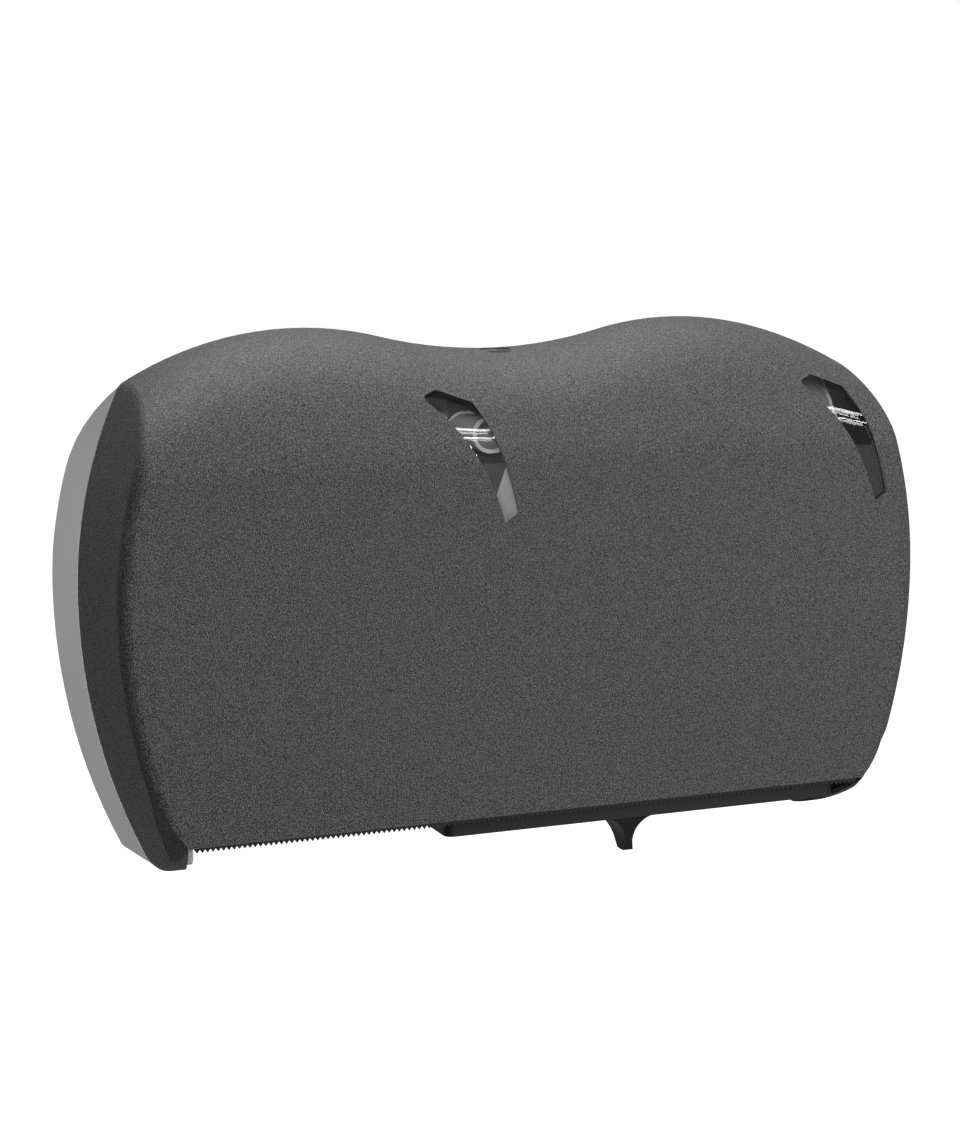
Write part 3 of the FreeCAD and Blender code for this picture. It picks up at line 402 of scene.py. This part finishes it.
sides = ("left", "right")
finishes = (
    (speckled, ["front_cover", "lock_body", "lock_plug"]),
    (plateGrey, ["back_plate"] + [side + "_spindle_post" for side in sides]),
    (clear, [side + "_window" for side in sides]),
    (black, ["tear_strip", "selector_guide", "roll_selector"]
     + [side + "_brake_ring" for side in sides]),
    (hubGrey, [side + part for side in sides for part in ("_roll_hub", "_spindle_cap")]),
    (steel, ["guide_screws", "spindle_screws", "keeper_screws", "cam_screw", "lock_cam",
             "lock_keeper"] + [side + "_hinge_pin" for side in sides]),
    (nickel, ["lock_nut"]),
)
for material, names in finishes:
    for name in names:
        for slot in nodes[name].material_slots:
            slot.material = material
print("finishes given")


# tools for the pieces made here

alongAxis = 0.9  # a face looks up or down where its normal reaches this
mergeDistance = 0.00001


def selectOnly(piece):
    bpy.ops.object.select_all(action="DESELECT")
    piece.select_set(True)
    bpy.context.view_layer.objects.active = piece


def startEdit():
    bpy.ops.object.mode_set(mode="EDIT")


def endEdit():
    bpy.ops.object.mode_set(mode="OBJECT")


def applyPlace():
    bpy.ops.object.transform_apply(location=True, rotation=True, scale=True)


def smooth(degrees):
    bpy.ops.object.shade_smooth_by_angle(angle=math.radians(degrees))


def looksUp(face):
    return face.normal.z > alongAxis


def looksDown(face):
    return face.normal.z < -alongAxis


def selectFaces(mesh, wanted):
    bpy.ops.mesh.select_mode(type="FACE")
    bpy.ops.mesh.select_all(action="DESELECT")
    endEdit()
    for face in mesh.polygons:
        face.select = wanted(face)
    startEdit()


def addCylinder(count, radius, depth, place, turn=(0, 0, 0)):
    bpy.ops.object.select_all(action="DESELECT")
    bpy.ops.mesh.primitive_cylinder_add(vertices=count, radius=radius, depth=depth,
                                        location=place, rotation=turn)
    applyPlace()
    return bpy.context.object


def addBlock(size, place, turn=0.0):
    bpy.ops.object.select_all(action="DESELECT")
    bpy.ops.mesh.primitive_cube_add(size=1, location=place)
    block = bpy.context.object
    block.scale = size
    block.rotation_euler = (0, 0, turn)
    applyPlace()
    return block


def cutWith(piece, cutter):
    selectOnly(piece)
    cut = piece.modifiers.new("cut", "BOOLEAN")
    cut.operation = "DIFFERENCE"
    cut.object = cutter
    bpy.ops.object.modifier_apply(modifier=cut.name)
    bpy.data.objects.remove(cutter)


def copyNode(node, piece):
    # a copy of a plain solid under its own name, merged so that it can be worked on
    selectOnly(nodes[node])
    bpy.ops.object.duplicate()
    copy = bpy.context.object
    copy.name = piece
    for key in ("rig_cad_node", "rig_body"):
        if key in copy:
            del copy[key]
    startEdit()
    bpy.ops.mesh.select_all(action="SELECT")
    bpy.ops.mesh.remove_doubles(threshold=mergeDistance)
    bpy.ops.mesh.customdata_custom_splitnormals_clear()
    endEdit()
    return copy


def finishPiece(piece, body, material, node=None):
    piece.data.materials.clear()
    piece.data.materials.append(material)
    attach(piece, body)
    if node:
        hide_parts(node)


# screws, each with its pan head, cross recess and thread

screwSettings = {
    "count": 32,  # corners round the head
    "headHeight": 0.0024,
    "rimRound": 0.0008,
    "rimSteps": 4,
    "armWidth": 0.0011,
    "armReach": 0.58,  # of the head's radius
    "armTaper": 0.55,  # width at the floor of the recess, as a share of its top
    "armOver": 0.0005,  # how far the cutter stands out of the head on each side
    "recessDepth": 0.0014,
    "threadPitch": 0.0011,
    "threadRoot": 0.82,  # root as a share of the crest
    "turnBetween": 0.7,  # radians, so that no two recesses stand alike
    "smooth": 40,
}
spindleAcross = 0.118
spindleScrewPlaces = ((0, 0.0230), (-0.01992, -0.0115), (0.01992, -0.0115))
guideScrewPlaces = (-0.180, -0.108, -0.036, 0.036, 0.108, 0.180)
screwGroups = {
    # node: piece, body, head radius, shank radius, shank length, way of the shank, seats
    "spindle_screws": ("spindleScrews", "plate", 0.0038, 0.0021, 0.0034, (0, 1, 0),
                       [(sign * spindleAcross + across, -0.0040, up)
                        for sign in (-1, 1) for across, up in spindleScrewPlaces]),
    "keeper_screws": ("keeperScrews", "plate", 0.0038, 0.0021, 0.0049, (0, 1, 0),
                      [(-0.020, -0.0055, 0.07396), (-0.020, -0.0055, 0.09396)]),
    "guide_screws": ("guideScrews", "cover", 0.0036, 0.0020, 0.0044, (0, -1, 0),
                     [(across, -0.1185, -0.1435) for across in guideScrewPlaces]),
    "cam_screw": ("camScrew", "lock", 0.0035, 0.0, 0.0, (0, 0, 1), [(0, -0.056, 0.08656)]),
}


def growThread(shankLength, settings):
    # from the selected end of the shank down, half a pitch at a time
    root, half = settings["threadRoot"], settings["threadPitch"] / 2
    for turn in range(int(shankLength / settings["threadPitch"])):
        for narrowing in (root, 1 / root):
            bpy.ops.mesh.extrude_region_move(TRANSFORM_OT_translate={"value": (0, 0, -half)})
            bpy.ops.transform.resize(value=(narrowing, narrowing, 1))


def cutArm(screw, settings, headRadius, angle):
    # one tapering arm of the cross recess, cut out of the head
    deep, over, taper = settings["recessDepth"], settings["armOver"], settings["armTaper"]
    size = (2 * headRadius * settings["armReach"], settings["armWidth"], deep + 2 * over)
    arm = addBlock(size, (0, 0, settings["headHeight"] - deep / 2 + over), angle)
    startEdit()
    selectFaces(arm.data, looksDown)
    bpy.ops.transform.resize(value=(taper, taper, 1))
    endEdit()
    cutWith(screw, arm)


def modelScrew(settings, headRadius, shankRadius, shankLength):
    # head up, with its seat at the origin
    high = settings["headHeight"]
    screw = addCylinder(settings["count"], headRadius, high, (0, 0, high / 2))
    startEdit()
    selectFaces(screw.data, looksUp)
    bpy.ops.mesh.bevel(offset=settings["rimRound"], segments=settings["rimSteps"],
                       affect="EDGES")
    if shankLength:
        selectFaces(screw.data, looksDown)
        bpy.ops.mesh.inset(thickness=headRadius - shankRadius, depth=0)
        growThread(shankLength, settings)
    endEdit()
    for angle in (0, math.pi / 2):
        cutArm(screw, settings, headRadius, angle)
    smooth(settings["smooth"])
    return screw


def placeScrews(node, piece, body, headRadius, shankRadius, shankLength, way, seats):
    first = modelScrew(screwSettings, headRadius, shankRadius, shankLength)
    turned = (-Vector(way)).to_track_quat("Z", "Y").to_matrix().to_4x4()
    copies = []
    for number, seat in enumerate(seats):
        copy = bpy.data.objects.new(piece + str(number), first.data.copy())
        scene.collection.objects.link(copy)
        spun = Matrix.Rotation(screwSettings["turnBetween"] * number, 4, "Z")
        copy.data.transform(Matrix.Translation(seat) @ turned @ spun)
        copies.append(copy)
    bpy.data.objects.remove(first)
    selectOnly(copies[0])
    for copy in copies[1:]:
        copy.select_set(True)
    if len(copies) > 1:
        bpy.ops.object.join()
    group = bpy.context.view_layer.objects.active
    group.name = piece
    finishPiece(group, body, steel, node)


for node, settings in screwGroups.items():
    placeScrews(node, *settings)
print("screws placed")


# rails and slider: their lips sit higher than in the plain solids, so that the teeth of the
# tear strip stand clear of them

railSettings = {
    # node: piece, body, and for each lip the heights between which it lies and its rise
    "selector_guide": ("selectorRails", "cover",
                       [(-0.160, -0.150, 0.0026), (-0.1495, -0.1493, 0.0021)]),
    "roll_selector": ("selectorSlide", "selector", [(-0.155, -0.145, 0.0026)]),
}
formSmooth = 30  # degrees, for rails, slider and plate


def raiseLips(node, piece, body, lips):
    copy = copyNode(node, piece)
    heights = [vertex.co.z for vertex in copy.data.vertices]
    for low, high, rise in lips:
        startEdit()
        bpy.ops.mesh.select_mode(type="VERT")
        bpy.ops.mesh.select_all(action="DESELECT")
        endEdit()
        for vertex, height in zip(copy.data.vertices, heights):
            vertex.select = low < height < high
        startEdit()
        bpy.ops.transform.translate(value=(0, 0, rise))
        endEdit()
    smooth(formSmooth)
    finishPiece(copy, body, black, node)


for node, settings in railSettings.items():
    raiseLips(node, *settings)
print("rails and slider made")


# the plate: towards the wall its roof is lower and its upper corners are round

plateSettings = {
    "depth": 0.0622,  # the rim in front keeps its shape, to meet the cover
    "wallFace": -0.00001,  # vertices behind this lie on the wall
    "bendFrom": 0.055,  # height above which the roof comes down
    "bendTo": 0.126,
    "drop": 0.0055,
    "cornerWay": (0.75, 0.66),  # outwards and up, towards a corner
    "cornerFrom": 0.1,  # least distance of a corner's outline from the middle of the plate
    "cornerAbove": 0.02,  # and its least height
    "cornerBelow": 0.03,  # from a corner down to where its side begins
    "cornerReach": 0.044,  # from a corner along the outline to where its direction is taken
    "cornerRadius": 0.108,
    "nearArc": 0.9,  # share of the radius beyond which the outline counts
    "widest": 0.8,  # angle from the corner within which it counts, in radians
    "band": 0.014,  # walls this near to the outline move with it
    "blend": 0.004,  # way over which the arc runs into the outline
    "fadeFrom": 0.45,  # angles from the corner between which the rounding ends, in radians
    "fadeTo": 0.75,
}


def limit(share):
    return max(0.0, min(1.0, share))


def findArc(outline, side, settings):
    # centre of the arc that rounds a corner, and the way from there to the corner
    across, up = settings["cornerWay"]
    corner = max(outline, key=lambda place: place.x * side * across + place.z * up)
    outer = [place for place in outline if place.x * side > settings["cornerFrom"]
             and place.z > settings["cornerAbove"]]
    below = corner.z - settings["cornerBelow"]
    ways = []
    for low in (True, False):
        near = [place for place in outer if (place.z < below) == low]
        mark = min(near, key=lambda place: abs((place - corner).length - settings["cornerReach"]))
        ways.append((mark - corner).normalized())
    inwards = (ways[0] + ways[1]).normalized()
    offset = settings["cornerRadius"] / math.sin(ways[0].angle(inwards))
    return corner + inwards * offset, -inwards


def fromArc(place, centre, outwards):
    # vector from the centre of the arc in the plane of the wall, and its angle to the corner's
    away = Vector((place.x - centre.x, place.z - centre.z))
    crossed = away.x * outwards.z - away.y * outwards.x
    return away, math.atan2(crossed, away.x * outwards.x + away.y * outwards.z)


def readEdge(edge, angle):
    # distance of the outline from the centre of the arc at an angle
    for (lowAngle, low), (highAngle, high) in zip(edge, edge[1:]):
        if lowAngle <= angle <= highAngle and highAngle > lowAngle:
            return low + (high - low) * (angle - lowAngle) / (highAngle - lowAngle)
    return 0


def roundCorner(plate, side, settings):
    # the outline on the wall moves in to the arc, and the walls in front of it follow
    radius, blend = settings["cornerRadius"], settings["blend"]
    outline = [vertex.co.copy() for vertex in plate.data.vertices
               if vertex.co.y > settings["wallFace"]]
    centre, outwards = findArc(outline, side, settings)
    edge = []
    for place in outline:
        away, angle = fromArc(place, centre, outwards)
        if away.length > radius * settings["nearArc"] and abs(angle) < settings["widest"]:
            edge.append((angle, away.length))
    edge.sort()
    for vertex in plate.data.vertices:
        away, angle = fromArc(vertex.co, centre, outwards)
        inCorner = vertex.co.x * side >= settings["cornerFrom"]
        if not inCorner or not edge[0][0] <= angle <= edge[-1][0]:
            continue
        outer = readEdge(edge, angle)
        if away.length > outer - settings["band"]:
            joining = limit(1 - abs(outer - radius) / blend)
            shift = max(0.0, outer - radius) + joining * joining * blend / 4
            fade = settings["fadeTo"] - abs(angle)
            shift *= limit(fade / (settings["fadeTo"] - settings["fadeFrom"]))
            shift *= max(0.0, 1 + vertex.co.y / settings["depth"])
            inner = (away.length - shift) / away.length
            vertex.co.x = centre.x + away.x * inner
            vertex.co.z = centre.z + away.y * inner


def makePlate(settings):
    plate = copyNode("back_plate", "backPlate")
    for side in (-1, 1):
        roundCorner(plate, side, settings)
    span = settings["bendTo"] - settings["bendFrom"]
    for vertex in plate.data.vertices:
        share = limit((vertex.co.z - settings["bendFrom"]) / span)
        back = max(0.0, 1 + vertex.co.y / settings["depth"])
        vertex.co.z -= settings["drop"] * share * back
    smooth(formSmooth)
    finishPiece(plate, "plate", plateGrey, "back_plate")
    return plate


backPlate = makePlate(plateSettings)
print("plate made")


# dark pad on the plate round the middle boss, seen through the left window

padSettings = {
    "half": [(0.016, 0.008), (0.028, 0.040), (0.044, 0.048), (0.056, 0.096), (0.040, 0.104)],
    "wall": -0.0025,
    "thickness": 0.0016,
    "cornerRound": 0.004,
    "cornerSteps": 5,
    "edgeRound": 0.0004,
    "edgeSteps": 2,
    "edgeAngle": 50,
    "cutDepth": 0.03,
    "bossCentre": (0, 0.061),
    "bossRadius": 0.0123,
    "bossCount": 64,
    "keeperPlay": 0.0004,
    "smooth": 35,
}


def drawPad(settings):
    # flat outline in front of the wall of the plate, both halves alike
    half = settings["half"]
    outline = [(-half[0][0], half[0][1])] + half
    outline += [(-across, up) for across, up in half[:0:-1]]
    bpy.ops.object.select_all(action="DESELECT")
    bpy.ops.mesh.primitive_circle_add(vertices=len(outline), fill_type="NGON",
                                      rotation=(math.pi / 2, 0, 0))
    applyPlace()
    pad = bpy.context.object
    for vertex, (across, up) in zip(pad.data.vertices, outline):
        vertex.co = (across, settings["wall"], up)
    return pad


def makeMiddlePad(settings):
    pad = drawPad(settings)
    pad.name = "middlePad"
    thickness = settings["thickness"]
    startEdit()
    bpy.ops.mesh.select_all(action="SELECT")
    bpy.ops.mesh.extrude_region_move(TRANSFORM_OT_translate={"value": (0, -thickness, 0)})
    bpy.ops.mesh.select_all(action="SELECT")
    bpy.ops.mesh.normals_make_consistent(inside=False)
    bpy.ops.mesh.select_mode(type="EDGE")
    bpy.ops.mesh.select_all(action="DESELECT")
    endEdit()
    for edge in pad.data.edges:
        one, other = (pad.data.vertices[number].co for number in edge.vertices)
        edge.select = abs(one.y - other.y) > thickness / 2
    startEdit()
    bpy.ops.mesh.bevel(offset=settings["cornerRound"], segments=settings["cornerSteps"],
                       affect="EDGES")
    endEdit()
    # room for the lock's keeper and for the boss
    low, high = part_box("lock_keeper")
    play, deep = settings["keeperPlay"], settings["cutDepth"]
    size = (high.x - low.x + 2 * play, deep, high.z - low.z + 2 * play)
    cutWith(pad, addBlock(size, ((low.x + high.x) / 2, 0, (low.z + high.z) / 2)))
    across, up = settings["bossCentre"]
    cutWith(pad, addCylinder(settings["bossCount"], settings["bossRadius"], deep,
                             (across, 0, up), (math.pi / 2, 0, 0)))
    rounding = pad.modifiers.new("rounding", "BEVEL")
    rounding.width = settings["edgeRound"]
    rounding.segments = settings["edgeSteps"]
    rounding.angle_limit = math.radians(settings["edgeAngle"])
    rounding.limit_method = "ANGLE"
    bpy.ops.object.modifier_apply(modifier=rounding.name)
    smooth(settings["smooth"])
    finishPiece(pad, "plate", padGrey)
    return pad


middlePad = makeMiddlePad(padSettings)
print("middle pad made")


# dust cap of the lock, a thin disc on the top of the cover

capSettings = {
    "centre": (0, -0.056),
    "radius": 0.0086,
    "count": 64,
    "foot": 0.1091,
    "height": 0.0011,
    "edgeRound": 0.0004,
    "edgeSteps": 3,
    "notchRadius": 0.0024,
    "notchCount": 32,
    "smooth": 35,
}


def makeLockCap(settings):
    across, deep = settings["centre"]
    foot, high, radius = settings["foot"], settings["height"], settings["radius"]
    cap = addCylinder(settings["count"], radius, high, (across, deep, foot + high / 2))
    cap.name = "lockCap"
    startEdit()
    selectFaces(cap.data, looksUp)
    bpy.ops.mesh.bevel(offset=settings["edgeRound"], segments=settings["edgeSteps"],
                       affect="EDGES")
    endEdit()
    # the finger notch at its front edge
    cutWith(cap, addCylinder(settings["notchCount"], settings["notchRadius"], high,
                             (across, deep - radius, foot + high)))
    smooth(settings["smooth"])
    finishPiece(cap, "cover", speckled)


makeLockCap(capSettings)
print("lock cap made")


# which light falls on what

def gather(name, objects, state):
    group = bpy.data.collections.new(name)
    for one in objects:
        group.objects.link(one)
    for member in group.collection_objects:
        member.light_linking.link_state = state
    return group


panes = [nodes[side + "_window"] for side in sides]
inside = [backPlate, middlePad] + [nodes[side + part] for side in sides
                                   for part in ("_spindle_post", "_roll_hub", "_spindle_cap")]
allButPanes = gather("allButPanes", panes, "EXCLUDE")
allButPlate = gather("allButPlate", panes + [backPlate], "EXCLUDE")
insideOnly = gather("insideOnly", inside, "INCLUDE")
receivers = {
    "frontSoft": allButPanes,
    "lowLeft": allButPanes,
    "topSoft": allButPlate,
    "rimSoft": allButPlate,
    "plateSoft": insideOnly,
    "doorKey": insideOnly,
}
for name, group in receivers.items():
    lights[name].light_linking.receiver_collection = group
for light in lights.values():
    light.light_linking.blocker_collection = allButPanes  # light falls in through the panes
print("lights linked")
